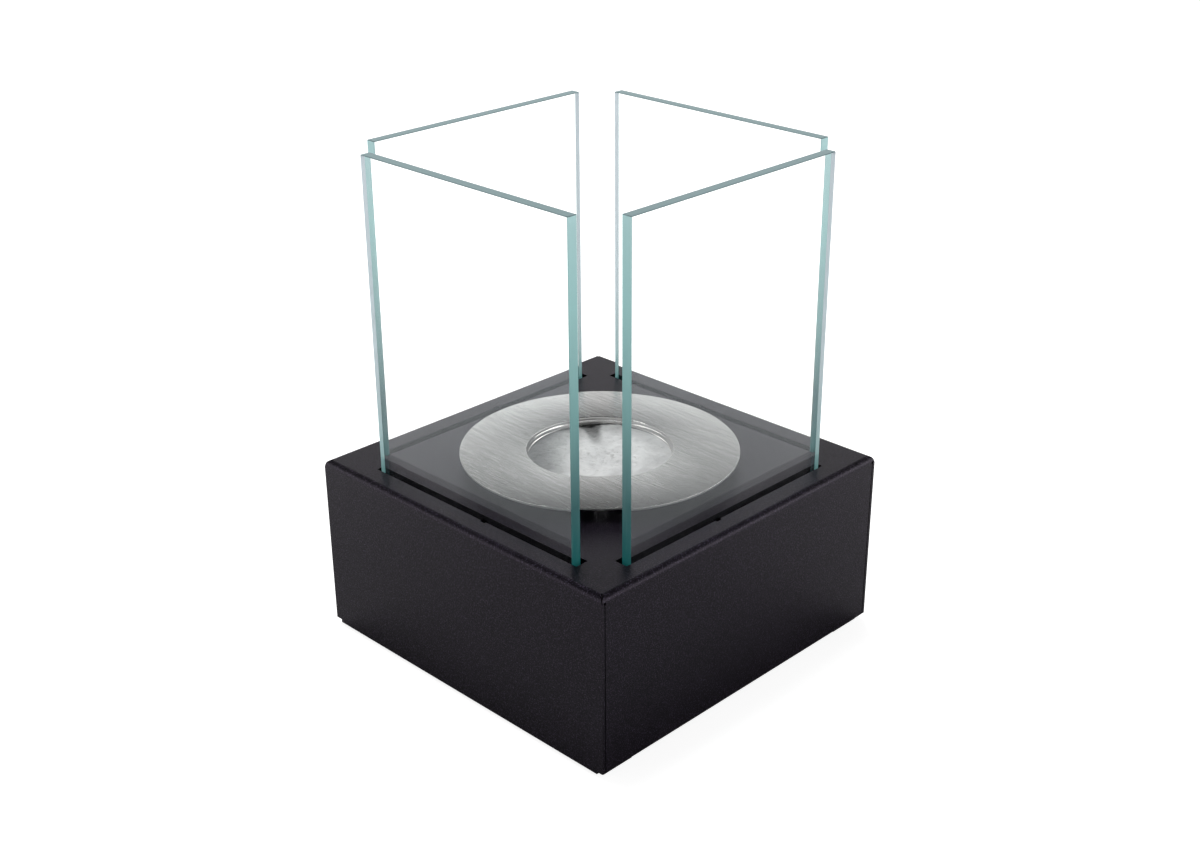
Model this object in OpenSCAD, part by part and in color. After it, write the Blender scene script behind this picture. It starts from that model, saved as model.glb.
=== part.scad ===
// Tabletop bioethanol fireplace: folded steel box, four glass panes and a lift-out burner.
// Z is up, the origin is on the floor under the middle, and the front faces -Y.

/* [Housing] */
// Outer width and depth of the square housing
body_w = 180; // [174:1:240]
// Height from the lower edge of the front wall to the top face
body_h = 86.8; // [80:0.2:140]
// Thickness of the folded sheet
sheet = 1.5; // [1:0.1:2]
// Inner radius of the bends along the top edges
top_fold_r = 1.5; // [0.8:0.1:3]
// Inner radius of the bends along the lower edges
low_fold_r = 0.3; // [0.3:0.1:1.5]
// Width of the open seams at the upright corners
seam_gap = 0.45; // [0.3:0.05:0.8]
// Diameter of the relief hole at the top of each seam
relief_d = 1.3; // [1:0.1:2]
// Width of the return flanges, measured from the outer wall face
flange_w = 42; // [36:1:50]
// Rise of the cut at each end of the lower edges
notch_rise = 1.1; // [0.6:0.1:1.8]

/* [Glass] */
// Thickness of a pane
glass_t = 5; // [3:0.5:6]
// Height that a pane stands above the top face
glass_rise = 147.4; // [100:1:220]
// Depth that a pane reaches below the top face
glass_sunk = 14; // [12:0.5:18]
// Width of the ground edges of a pane
glass_arris = 0.5; // [0.3:0.1:0.8]
// Clearance between a pane and the slot edge or cushion beside it
glass_gap = 0.2; // [0.1:0.1:0.5]

/* [Slots] */
// Clearance between a pane and each end of its slot
slot_gap_end = 2.5; // [1:0.5:4]
// Width of the small nick in the outer edge of a slot
nick_w = 3; // [2:0.5:5]
// Depth of that nick
nick_depth = 1; // [0.5:0.1:1.5]
// Distance of that nick from the middle of its slot
nick_shift = 8; // [0:1:30]

/* [Pane holders] */
// Sheet thickness of a holder
holder_t = 1; // [0.8:0.1:1.2]
// Length that a holder reaches past each end of its slot
holder_over = 0.5; // [0:0.1:2]
// Gap between the end of a holder and the lip of the next one
holder_corner_gap = 0.5; // [0.3:0.1:5]
// Gap between a holder and the bend of the top beside it
holder_bend_gap = 1; // [0.3:0.1:3]
// Thickness of the cushion floor under a pane
cushion_floor = 2; // [1.5:0.1:3]
// Thickness of the cushion side beside a pane
cushion_side = 1; // [0.8:0.1:2]
// Gap between the cushion side and the underside of the top
cushion_drop = 2.5; // [0.5:0.5:6]
// Gap between a cushion and the walls of its holder
cushion_gap = 0.1; // [0.05:0.05:0.2]

/* [Holder fasteners] */
// Diameter of the weld studs
stud_d = 3; // [2.5:0.1:3.2]
// Width of a stud nut across its flats
stud_nut_w = 5.5; // [5:0.1:7]
// Height of a stud nut
stud_nut_h = 2.4; // [2:0.1:3]
// Length of a stud past its nut
stud_over = 1.2; // [0.5:0.1:2]
// Distance from the end of a holder to its studs
stud_inset = 17; // [5:1:40]
// Width of a holder's lip on each side of a stud nut
stud_nut_margin = 0.25; // [0.1:0.05:2]
// Radial clearance between a fastener and its hole
fastener_gap = 0.1; // [0.05:0.05:0.2]

/* [Base] */
// Thickness of the base plate
base_t = 1; // [0.8:0.1:1.5]
// Gap between the base plate and the walls
base_gap = 0.3; // [0.2:0.1:1]
// Diameter of the base screws
screw_d = 4; // [3:0.5:4]
// Head diameter of the base screws
screw_head_d = 7.5; // [6:0.1:8]
// Head height of the base screws
screw_head_h = 2; // [1.5:0.1:2.4]
// Length of a base screw past its nut
screw_over = 1.2; // [0.5:0.1:2]
// Width of a base nut across its flats
base_nut_w = 7; // [6:0.5:8]
// Height of a base nut
base_nut_h = 3.2; // [2.4:0.1:4]

/* [Feet] */
// Width of a square foot
foot_w = 18; // [14:0.5:24]
// Corner radius of a foot
foot_corner_r = 0.8; // [0.5:0.1:4]
// Thickness of the foot pad
foot_t = 1.2; // [1:0.1:2]
// Length that the feet stand out below the front wall
foot_drop = 0.6; // [0.4:0.05:1]
// Distance from a foot to the outer wall faces
foot_inset = 2.8; // [0.5:0.1:4]
// Gap between a foot and the cut ends of the flanges
foot_gap = 1.2; // [0.5:0.1:3]
// Diameter of the foot neck under the base plate
foot_neck_d = 12; // [9:0.5:13]
// Diameter of the foot stem in the base plate
foot_stem_d = 6; // [5:0.5:7]
// Diameter of the barb above the base plate
foot_barb_d = 8.5; // [7.5:0.5:10]
// Height of the barb
foot_barb_h = 2.5; // [1.5:0.5:3]

/* [Burner] */
// Gap between the burner plate and the panes
plate_gap = 11.4; // [5:0.1:15]
// Thickness of the burner plate
plate_t = 1.2; // [1:0.1:1.5]
// Width of the broken edges of the burner plate
plate_edge = 0.25; // [0.1:0.05:0.4]
// Height of the burner plate above the top face
plate_lift = 5.2; // [4:0.1:8]
// Width of the ring on which the burner plate covers the top
plate_cover = 22; // [16:0.5:30]
// Gap between the cup and its port in the top
port_gap = 6.6; // [2:0.1:12]
// Height of the turned-down rim of the mouth
rim_h = 4; // [2:0.1:6]
// Thickness of that rim
rim_t = 1; // [0.8:0.1:1.5]
// Clearance between that rim and the cup
rim_gap = 0.1; // [0.05:0.05:0.3]
// Wall thickness of the cup
cup_t = 0.8; // [0.6:0.1:1.5]
// Depth of the cup below the burner plate
cup_depth = 60; // [40:1:66]
// Thickness of the cup base
cup_base_t = 1; // [0.8:0.1:1.5]
// Clearance between the cup base and the cup wall
cup_base_gap = 0.1; // [0.05:0.05:0.2]
// Diameter of a spacer
spacer_d = 9; // [6:0.5:12]
// Distance from the edge of the port to the middle of a spacer
spacer_inset = 8; // [6.5:0.5:14]

/* [Ceramic wool] */
// Depth of the crown of the wool below the burner plate's upper face
wool_depth = 4.5; // [3:0.5:20]
// Further drop of the wool from its crown to its rim
wool_crown = 2; // [1:0.5:8]
// Gap between the wool and the cup wall
wool_gap = 0.3; // [0.2:0.1:0.6]

/* [Hidden] */

// Smoothness of large and small round shapes
$fn = 96;
small_fn = 40;
// Overrun of every cut past the faces that it opens
over = 2;

// Turns of the four sides about Z, from the front by way of the right
FRONT = 0;
RIGHT = 90;
BACK = 180;
LEFT = 270;
SIDES = [FRONT, RIGHT, BACK, LEFT];

// Heights of the housing, from the floor
low_z = foot_drop;
top_z = low_z + body_h;
under_z = top_z - sheet;
// The side flanges lie on the front and back ones
side_low_z = low_z + sheet;
base_z = side_low_z + sheet;
base_top_z = base_z + base_t;
// Outer radii of the bends
top_bend_r = top_fold_r + sheet;
low_bend_r = low_fold_r + sheet;

half_w = body_w / 2;
inner_half = half_w - sheet;
notch_len = foot_inset + foot_w + foot_gap;
flange_half = half_w - notch_len;
// Top of the open seams, where the top bends begin
seam_top_z = top_z - top_bend_r;
// Middle of the lapped corners of the flanges
lap_mid = half_w - (notch_len + flange_w) / 2;
// Middle of a foot
foot_mid = half_w - foot_inset - foot_w / 2;

// Places of a pane and its slot, as distances from the middle of the housing
holder_lip = stud_nut_w + 2 * stud_nut_margin;
slot_out = half_w - top_bend_r - holder_bend_gap - holder_lip - holder_t;
pane_out = slot_out - glass_gap;
pane_in = pane_out - glass_t;
slot_in = pane_in - glass_gap - cushion_side - cushion_gap;
holder_half = slot_in - holder_t - holder_lip - holder_corner_gap;
slot_half = holder_half - holder_over;
glass_half = slot_half - slot_gap_end;
glass_w = 2 * glass_half;

// Heights of the pane holders
glass_low_z = top_z - glass_sunk;
glass_top_z = top_z + glass_rise;
holder_floor_z = glass_low_z - cushion_floor;

// Places of the weld studs, in the middle of each lip
stud_rows = [slot_out + holder_t + holder_lip / 2, slot_in - holder_t - holder_lip / 2];
stud_shift = holder_half - stud_inset;
stud_nut_z = under_z - holder_t - stud_nut_h;

// Heights and radii of the burner
plate_z = top_z + plate_lift;
plate_top_z = plate_z + plate_t;
plate_r = pane_in - plate_gap;
port_r = plate_r - plate_cover;
cup_r = port_r - port_gap;
cup_inner_r = cup_r - cup_t;
mouth_r = cup_inner_r - rim_gap - rim_t;
spacer_r = port_r + spacer_inset;
cup_low_z = plate_z - cup_depth;
wool_r = cup_inner_r - wool_gap;
wool_low_z = cup_low_z + cup_base_t;
wool_top_z = plate_top_z - wool_depth;
wool_rim_z = wool_top_z - wool_crown;

PAINT = [0.12, 0.115, 0.125];
CLEAR = [0.62, 0.82, 0.80, 0.45];
STEEL = [0.68, 0.68, 0.67];
ZINC = [0.72, 0.73, 0.74];
RUBBER = [0.06, 0.06, 0.06];
SILICONE = [0.08, 0.08, 0.08];
WOOL = [0.90, 0.90, 0.88];

// Copies a piece to each place in a list of [x, y]
module at_each(places) {
    for (place = places) translate([place[0], place[1], 0]) children();
}

// The four places at the same distance from both middle planes
function corners(reach) = [for (x = [-1, 1], y = [-1, 1]) [x * reach, y * reach]];

// A box given by its lowest and highest corners
module span(low, high) {
    translate(low) cube(high - low);
}

// A ring between two radii and two heights
module ring(inner_r, outer_r, low, high) {
    translate([0, 0, low]) difference() {
        cylinder(r = outer_r, h = high - low);
        translate([0, 0, -over]) cylinder(r = inner_r, h = high - low + 2 * over);
    }
}

// A round shank between two heights
module shank(d, low, high) {
    translate([0, 0, low]) cylinder(d = d, h = high - low, $fn = small_fn);
}

// A hexagon nut with its bore
module nut(flats_w, h, bore_d) {
    difference() {
        cylinder(d = flats_w / cos(30), h = h, $fn = 6);
        translate([0, 0, -over]) cylinder(d = bore_d, h = h + 2 * over, $fn = small_fn);
    }
}

// Upright outline of the folded box, seen along one wall
module fold_outline(half, top, bend_r) {
    difference() {
        translate([-half, 0]) square([2 * half, top]);
        for (side = [-1, 1]) translate([side * half, top]) mirror([(1 - side) / 2, 0]) difference() {
            translate([-bend_r, -bend_r]) square([bend_r + over, bend_r + over]);
            translate([-bend_r, -bend_r]) circle(r = bend_r);
        }
    }
}

// Block with bent top edges on all four sides
module folded_block(half, top, bend_r) {
    intersection() {
        rotate([90, 0, 0]) linear_extrude(body_w + 2 * over, center = true)
            fold_outline(half, top, bend_r);
        rotate([90, 0, 90]) linear_extrude(body_w + 2 * over, center = true)
            fold_outline(half, top, bend_r);
    }
}

// Bend and return flange along the front, lying at the given height
module return_flange(low) {
    inner_r = low_bend_r - sheet;
    translate([0, 0, low]) rotate([90, 0, 90]) linear_extrude(2 * flange_half, center = true) {
        translate([low_bend_r - half_w, 0]) square([flange_w - low_bend_r, sheet]);
        translate([low_bend_r - half_w, low_bend_r]) difference() {
            circle(r = low_bend_r, $fn = small_fn);
            circle(r = inner_r, $fn = small_fn);
            translate([-low_bend_r - over, 0]) square([2 * (low_bend_r + over), low_bend_r + over]);
            translate([0, -low_bend_r - over]) square([low_bend_r + over, low_bend_r + 2 * over]);
        }
    }
}

// What is trimmed off the lower edge of the front wall, lying at the given height
module lower_trim(low) {
    span([-flange_half, -half_w - over, -over], [flange_half, -inner_half + over, low + low_bend_r]);
    for (side = [0, 1]) mirror([side, 0, 0])
        span([flange_half - over, -half_w - over, -over],
             [half_w + over, -inner_half + over, low + notch_rise]);
}

// Slot for the front pane, with its nick on the given side of the middle
module slot_cut(nick_side) {
    span([-slot_half, -slot_out, under_z - over], [slot_half, -slot_in, top_z + over]);
    translate([nick_side * nick_shift, 0, 0])
        span([-nick_w / 2, -slot_out - nick_depth, under_z - over],
             [nick_w / 2, -slot_in, top_z + over]);
}

// Open seam beside the front wall's cut edge, its relief hole and the gap of the bends above
module corner_seam() {
    span([inner_half - over, -inner_half, -over], [half_w + over, -inner_half + seam_gap, seam_top_z]);
    translate([inner_half - over, -inner_half + seam_gap / 2, seam_top_z])
        rotate([0, 90, 0]) cylinder(d = relief_d, h = sheet + 2 * over, $fn = small_fn);
    translate([half_w - top_bend_r, top_bend_r - half_w, 0]) rotate([0, 0, -45])
        span([0, -seam_gap / 2, seam_top_z], [2 * top_bend_r, seam_gap / 2, top_z + over]);
}

module housing_shell() {
    color(PAINT) difference() {
        union() {
            difference() {
                folded_block(half_w, top_z, top_bend_r);
                translate([0, 0, -over]) folded_block(inner_half, under_z + over, top_bend_r - sheet);
                for (turn = [FRONT, BACK]) rotate([0, 0, turn]) lower_trim(low_z);
                for (turn = [RIGHT, LEFT]) rotate([0, 0, turn]) lower_trim(side_low_z);
            }
            for (turn = [FRONT, BACK]) rotate([0, 0, turn]) return_flange(low_z);
            for (turn = [RIGHT, LEFT]) rotate([0, 0, turn]) return_flange(side_low_z);
        }
        for (turn = SIDES) rotate([0, 0, turn]) slot_cut(turn == RIGHT || turn == LEFT ? -1 : 1);
        for (x = [0, 1], y = [0, 1]) mirror([x, 0, 0]) mirror([0, y, 0]) corner_seam();
        translate([0, 0, under_z - over]) cylinder(r = port_r, h = sheet + 2 * over);
        at_each(corners(lap_mid)) {
            shank(screw_d + 2 * fastener_gap, low_z - over, base_z + over);
            translate([0, 0, low_z]) cylinder(
                d1 = screw_head_d + 2 * fastener_gap, d2 = screw_d + 2 * fastener_gap,
                h = screw_head_h, $fn = small_fn);
        }
    }
}

module base_plate() {
    reach = inner_half - base_gap;
    color(ZINC) difference() {
        span([-reach, -reach, base_z], [reach, reach, base_top_z]);
        at_each(corners(lap_mid)) shank(screw_d + 2 * fastener_gap, base_z - over, base_top_z + over);
        at_each(corners(foot_mid)) shank(foot_stem_d + 2 * fastener_gap, base_z - over, base_top_z + over);
    }
}

module base_screws() {
    color(ZINC) at_each(corners(lap_mid)) {
        translate([0, 0, low_z]) cylinder(d1 = screw_head_d, d2 = screw_d, h = screw_head_h, $fn = small_fn);
        shank(screw_d, low_z + screw_head_h, base_top_z + base_nut_h + screw_over);
    }
}

module base_nuts() {
    color(ZINC) at_each(corners(lap_mid)) translate([0, 0, base_top_z])
        nut(base_nut_w, base_nut_h, screw_d + 2 * fastener_gap);
}

// Square rubber foot with round corners, a neck and a push-in stem
module foot(x_side, y_side) {
    pad_z = foot_t;
    straight = foot_w - 2 * foot_corner_r;
    color(RUBBER) translate([x_side * foot_mid, y_side * foot_mid, 0]) {
        linear_extrude(pad_z) {
            square([foot_w, straight], center = true);
            square([straight, foot_w], center = true);
            at_each(corners(straight / 2)) circle(r = foot_corner_r, $fn = small_fn);
        }
        shank(foot_neck_d, pad_z, base_z);
        shank(foot_stem_d, base_z, base_top_z);
        translate([0, 0, base_top_z])
            cylinder(d1 = foot_barb_d, d2 = foot_stem_d, h = foot_barb_h, $fn = small_fn);
    }
}

module foot_front_left() { foot(-1, -1); }
module foot_front_right() { foot(1, -1); }
module foot_back_left() { foot(-1, 1); }
module foot_back_right() { foot(1, 1); }

// Rectangle with cut corners
module cut_rect(w, h, cut) {
    polygon([
        [cut, 0], [w - cut, 0], [w, cut], [w, h - cut],
        [w - cut, h], [cut, h], [0, h - cut], [0, cut]
    ]);
}

// Glass pane at the front, with a ground arris on every edge
module pane() {
    pane_h = glass_top_z - glass_low_z;
    color(CLEAR) translate([-glass_half, -pane_out, glass_low_z]) intersection() {
        linear_extrude(pane_h) cut_rect(glass_w, glass_t, glass_arris);
        translate([0, glass_t, 0]) rotate([90, 0, 0])
            linear_extrude(glass_t) cut_rect(glass_w, pane_h, glass_arris);
        rotate([90, 0, 90]) linear_extrude(glass_w) cut_rect(glass_t, pane_h, glass_arris);
    }
}

module glass_front() { rotate([0, 0, FRONT]) pane(); }
module glass_right() { rotate([0, 0, RIGHT]) pane(); }
module glass_back() { rotate([0, 0, BACK]) pane(); }
module glass_left() { rotate([0, 0, LEFT]) pane(); }

// Hat-section holder under the front slot
module holder() {
    floor_low_z = holder_floor_z - holder_t;
    lip_z = under_z - holder_t;
    color(PAINT) difference() {
        union() {
            span([-holder_half, -slot_out - holder_t, floor_low_z], [holder_half, holder_t - slot_in, under_z]);
            span([-holder_half, -slot_out - holder_t - holder_lip, lip_z],
                 [holder_half, holder_t + holder_lip - slot_in, under_z]);
        }
        span([-holder_half - over, -slot_out, holder_floor_z], [holder_half + over, -slot_in, under_z + over]);
        for (row = stud_rows, side = [-1, 1]) translate([side * stud_shift, -row, 0])
            shank(stud_d + 2 * fastener_gap, lip_z - over, under_z + over);
    }
}

module holder_front() { rotate([0, 0, FRONT]) holder(); }
module holder_right() { rotate([0, 0, RIGHT]) holder(); }
module holder_back() { rotate([0, 0, BACK]) holder(); }
module holder_left() { rotate([0, 0, LEFT]) holder(); }

// Black silicone strip in the front holder: a floor under the pane and a side behind it
module cushion() {
    color(SILICONE) {
        span([-holder_half, cushion_gap - slot_out, holder_floor_z],
             [holder_half, -slot_in - cushion_gap, glass_low_z]);
        span([-holder_half, -slot_in - cushion_gap - cushion_side, holder_floor_z],
             [holder_half, -slot_in - cushion_gap, under_z - cushion_drop]);
    }
}

module cushion_front() { rotate([0, 0, FRONT]) cushion(); }
module cushion_right() { rotate([0, 0, RIGHT]) cushion(); }
module cushion_back() { rotate([0, 0, BACK]) cushion(); }
module cushion_left() { rotate([0, 0, LEFT]) cushion(); }

// Copies a fastener to every stud place
module at_studs() {
    for (turn = SIDES, row = stud_rows, side = [-1, 1])
        rotate([0, 0, turn]) translate([side * stud_shift, -row, 0]) children();
}

module holder_studs() {
    color(ZINC) at_studs() shank(stud_d, stud_nut_z - stud_over, under_z);
}

module holder_nuts() {
    color(ZINC) at_studs() translate([0, 0, stud_nut_z])
        nut(stud_nut_w, stud_nut_h, stud_d + 2 * fastener_gap);
}

// Round plate with broken edges and a turned-down rim around its mouth
module burner_plate() {
    rim_low_z = plate_top_z - rim_h;
    color(STEEL) rotate_extrude() polygon([
        [mouth_r, rim_low_z],
        [mouth_r + rim_t, rim_low_z],
        [mouth_r + rim_t, plate_z],
        [plate_r - plate_edge, plate_z],
        [plate_r, plate_z + plate_edge],
        [plate_r, plate_top_z - plate_edge],
        [plate_r - plate_edge, plate_top_z],
        [mouth_r + plate_edge, plate_top_z],
        [mouth_r, plate_top_z - plate_edge]
    ]);
}

module cup_wall() {
    color(STEEL) ring(cup_inner_r, cup_r, cup_low_z, plate_z);
}

module cup_base() {
    color(STEEL) translate([0, 0, cup_low_z]) cylinder(r = cup_inner_r - cup_base_gap, h = cup_base_t);
}

module burner_spacers() {
    color(STEEL) for (turn = SIDES) rotate([0, 0, turn + 45])
        translate([spacer_r, 0, 0]) shank(spacer_d, top_z, plate_z);
}

// Packed wool with a crowned top
module ceramic_wool() {
    crown_r = (wool_r * wool_r + wool_crown * wool_crown) / (2 * wool_crown);
    color(WOOL) intersection() {
        translate([0, 0, wool_low_z]) cylinder(r = wool_r, h = wool_top_z - wool_low_z);
        translate([0, 0, wool_top_z - crown_r]) sphere(r = crown_r);
    }
}

housing_shell();
base_plate();
base_screws();
base_nuts();
foot_front_left();
foot_front_right();
foot_back_left();
foot_back_right();
glass_front();
glass_right();
glass_back();
glass_left();
holder_front();
holder_right();
holder_back();
holder_left();
cushion_front();
cushion_right();
cushion_back();
cushion_left();
holder_studs();
holder_nuts();
burner_plate();
cup_wall();
cup_base();
burner_spacers();
ceramic_wool();
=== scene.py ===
import math
import bmesh
import bpy
from mathutils import Matrix, Vector, noise


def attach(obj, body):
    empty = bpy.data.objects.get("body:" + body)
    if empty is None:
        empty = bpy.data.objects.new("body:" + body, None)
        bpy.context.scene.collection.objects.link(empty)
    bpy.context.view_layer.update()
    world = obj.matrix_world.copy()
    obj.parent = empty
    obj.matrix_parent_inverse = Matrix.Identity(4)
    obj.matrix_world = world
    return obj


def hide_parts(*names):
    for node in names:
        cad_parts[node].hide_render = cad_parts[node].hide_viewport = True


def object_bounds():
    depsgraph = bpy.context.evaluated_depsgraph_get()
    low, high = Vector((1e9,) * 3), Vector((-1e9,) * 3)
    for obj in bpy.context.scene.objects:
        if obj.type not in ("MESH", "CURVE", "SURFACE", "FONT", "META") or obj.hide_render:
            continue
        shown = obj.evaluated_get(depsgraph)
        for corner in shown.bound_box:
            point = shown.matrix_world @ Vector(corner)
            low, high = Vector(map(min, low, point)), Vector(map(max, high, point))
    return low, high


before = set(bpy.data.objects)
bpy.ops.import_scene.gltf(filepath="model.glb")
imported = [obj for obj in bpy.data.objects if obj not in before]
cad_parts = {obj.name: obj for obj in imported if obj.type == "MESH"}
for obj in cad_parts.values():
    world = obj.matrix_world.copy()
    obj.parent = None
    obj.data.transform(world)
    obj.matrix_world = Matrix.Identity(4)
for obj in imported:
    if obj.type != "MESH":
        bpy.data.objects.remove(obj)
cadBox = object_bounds()
millimetre = 0.001
diagonal = math.sqrt(0.5)
sides = {"Front": 0, "Right": 90, "Back": 180, "Left": 270}  # turns about Z
mergeDistance = 1e-6  # points closer than this become one


# Camera: it looks at the corner between the front and the right wall
camera = {"place": (0.4864, -0.4902, 0.4222), "yaw": -44.764, "pitch": -24.995, "roll": -0.328,
          "lens": 49.83, "sensor": 36}


def makeCamera(values):
    yaw, pitch, roll = (math.radians(values[key]) for key in ("yaw", "pitch", "roll"))
    flat = math.cos(pitch)
    ahead = Vector((math.sin(yaw) * flat, math.cos(yaw) * flat, math.sin(pitch)))
    level = Vector((math.cos(yaw), -math.sin(yaw), 0))
    upright = level.cross(ahead)
    right = math.cos(roll) * level + math.sin(roll) * upright
    up = math.cos(roll) * upright - math.sin(roll) * level
    data = bpy.data.cameras.new("photoCamera")
    data.sensor_width = values["sensor"]
    data.lens = values["lens"]
    made = bpy.data.objects.new("photoCamera", data)
    bpy.context.scene.collection.objects.link(made)
    turn = Matrix((right, up, -ahead)).transposed()
    made.matrix_world = Matrix.Translation(values["place"]) @ turn.to_4x4()
    bpy.context.scene.camera = made


makeCamera(camera)
bpy.context.scene.view_settings.view_transform = "Standard"
print("camera set")


# Node helpers, for shaders and for geometry
class Wire:
    def __init__(self, graph, socket):
        self.graph = graph
        self.socket = socket

    def __add__(self, other):
        return self.graph.maths("ADD", self, other)

    def __radd__(self, other):
        return self.graph.maths("ADD", other, self)

    def __sub__(self, other):
        return self.graph.maths("SUBTRACT", self, other)

    def __rsub__(self, other):
        return self.graph.maths("SUBTRACT", other, self)

    def __mul__(self, other):
        return self.graph.maths("MULTIPLY", self, other)

    def __rmul__(self, other):
        return self.graph.maths("MULTIPLY", other, self)

    def __truediv__(self, other):
        return self.graph.maths("DIVIDE", self, other)

    def __rtruediv__(self, other):
        return self.graph.maths("DIVIDE", other, self)

    def __mod__(self, other):
        return self.graph.maths("FLOORED_MODULO", self, other)


class Graph:
    def __init__(self, tree):
        self.tree = tree

    def node(self, kind, settings=None, inputs=None, output=0):
        made = self.tree.nodes.new(kind)
        for key, value in (settings or {}).items():
            if key == "stops":
                self.setStops(made.color_ramp, value)
            else:
                setattr(made, key, value)
        for key, value in (inputs or {}).items():
            if isinstance(value, Wire):
                self.tree.links.new(value.socket, made.inputs[key])
            else:
                made.inputs[key].default_value = value
        return Wire(self, made.outputs[output]) if len(made.outputs) else made

    def wires(self, made):  # every output of the node that a wire comes from
        return [Wire(self, socket) for socket in made.socket.node.outputs]

    def setStops(self, ramp, stops):
        ramp.elements.remove(ramp.elements[1])
        for count, (place, colour) in enumerate(stops):
            stop = ramp.elements[0] if count == 0 else ramp.elements.new(place)
            stop.position = place
            stop.color = (*colour, 1)

    def maths(self, operation, a, b=0.0):
        return self.node("ShaderNodeMath", {"operation": operation}, {0: a, 1: b})

    def mixColour(self, factor, a, b):
        a, b = (value if isinstance(value, Wire) else (*value, 1) for value in (a, b))
        return self.node("ShaderNodeMix", {"data_type": "RGBA"}, {0: factor, 6: a, 7: b}, 2)

    def split(self, vector):
        return self.wires(self.node("ShaderNodeSeparateXYZ", inputs={0: vector}))

    def ranged(self, value, low, high, newLow=0.0, newHigh=1.0):
        return self.node("ShaderNodeMapRange", {"interpolation_type": "SMOOTHSTEP"},
                         {"Value": value, "From Min": low, "From Max": high,
                          "To Min": newLow, "To Max": newHigh})

    def shared(self, a, b, share):  # a mean of two values, with the first one's share
        return a * share + b * (1 - share)

    def fromAxis(self, x, y):
        return self.maths("SQRT", x * x + y * y)


class Finish(Graph):
    def __init__(self, name):
        self.material = bpy.data.materials.new(name)
        self.material.use_nodes = True
        super().__init__(self.material.node_tree)
        self.tree.nodes.clear()
        self.place = self.node("ShaderNodeTexCoord", output="Object")

    def stretched(self, scale, turn=0.0):
        return self.node("ShaderNodeMapping", inputs={
            "Vector": self.place, "Scale": scale, "Rotation": (0, 0, math.radians(turn))})

    def noise(self, scale, detail=2.0, roughness=0.5, where=None):
        return self.node("ShaderNodeTexNoise", inputs={
            "Vector": where or self.place, "Scale": scale, "Detail": detail, "Roughness": roughness})

    def bump(self, height, distance, strength=1.0):
        return self.node("ShaderNodeBump", inputs={
            "Height": height, "Distance": distance * millimetre, "Strength": strength})

    def principled(self, **sockets):
        return self.node("ShaderNodeBsdfPrincipled", inputs={
            key.replace("_", " "): value for key, value in sockets.items()})

    def close(self, shader):
        self.node("ShaderNodeOutputMaterial", inputs={"Surface": shader})
        return self.material


def shade(colour, share):
    return [share * part for part in colour]


# Black powder coat: a dark colour, flecked where the grain stands up
powderCoat = {"colour": (0.0024, 0.0019, 0.0030), "dark": 0.82, "light": 1.3, "fleck": 15.0,
              "fleckRange": (0.53, 0.66), "cloudRange": (0.35, 0.65), "cloud": 38, "grain": 0.62,
              "fine": 2.7, "grainShare": 0.7, "grainHeight": 0.13, "roughness": 0.22,
              "cloudRoughness": 0.06, "grainRoughness": 0.14, "specular": 0.172,
              "tint": (0.88, 0.73, 1.0)}


def makePowderCoat(values):
    coat = Finish("blackPowderCoat")
    scale = 1 / (values["grain"] * millimetre)
    cloud = coat.noise(values["cloud"], detail=3, roughness=0.6)
    grain = coat.noise(scale, roughness=0.55)
    fine = coat.noise(values["fine"] * scale, detail=1)
    dark, light, fleck = (shade(values["colour"], values[key]) for key in ("dark", "light", "fleck"))
    colour = coat.mixColour(coat.ranged(cloud, *values["cloudRange"]), dark, light)
    colour = coat.mixColour(coat.ranged(grain, *values["fleckRange"]), colour, fleck)
    normal = coat.bump(coat.shared(grain, fine, values["grainShare"]), values["grainHeight"])
    roughness = values["roughness"] + cloud * values["cloudRoughness"] + grain * values["grainRoughness"]
    return coat.close(coat.principled(
        Base_Color=colour, Normal=normal, Roughness=roughness, Specular_IOR_Level=values["specular"],
        Specular_Tint=(*values["tint"], 1)))


# Clear glass: lamps and bounced light pass straight through it
clearGlass = {"tint": (0.975, 0.995, 0.988), "clean": (1, 1, 1), "smear": 26, "ior": 1.5,
              "sheen": (0.84, 0.92, 1.0), "passed": (0.94, 0.975, 0.965)}


def makeClearGlass(values):
    glass = Finish("clearGlass")
    colour = glass.mixColour(glass.noise(values["smear"]), values["tint"], values["clean"])
    pane = glass.principled(
        Base_Color=colour, Roughness=0.0, IOR=values["ior"], Transmission_Weight=1.0,
        Specular_Tint=(*values["sheen"], 1))
    passed = glass.node("ShaderNodeBsdfTransparent", inputs={"Color": (*values["passed"], 1)})
    rays = glass.node("ShaderNodeLightPath").socket.node.outputs
    lamps, bounced = (Wire(glass, rays[key]) for key in ("Is Shadow Ray", "Is Diffuse Ray"))
    factor = glass.maths("MAXIMUM", lamps, bounced)
    return glass.close(glass.node("ShaderNodeMixShader", inputs={0: factor, 1: pane, 2: passed}))


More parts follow.
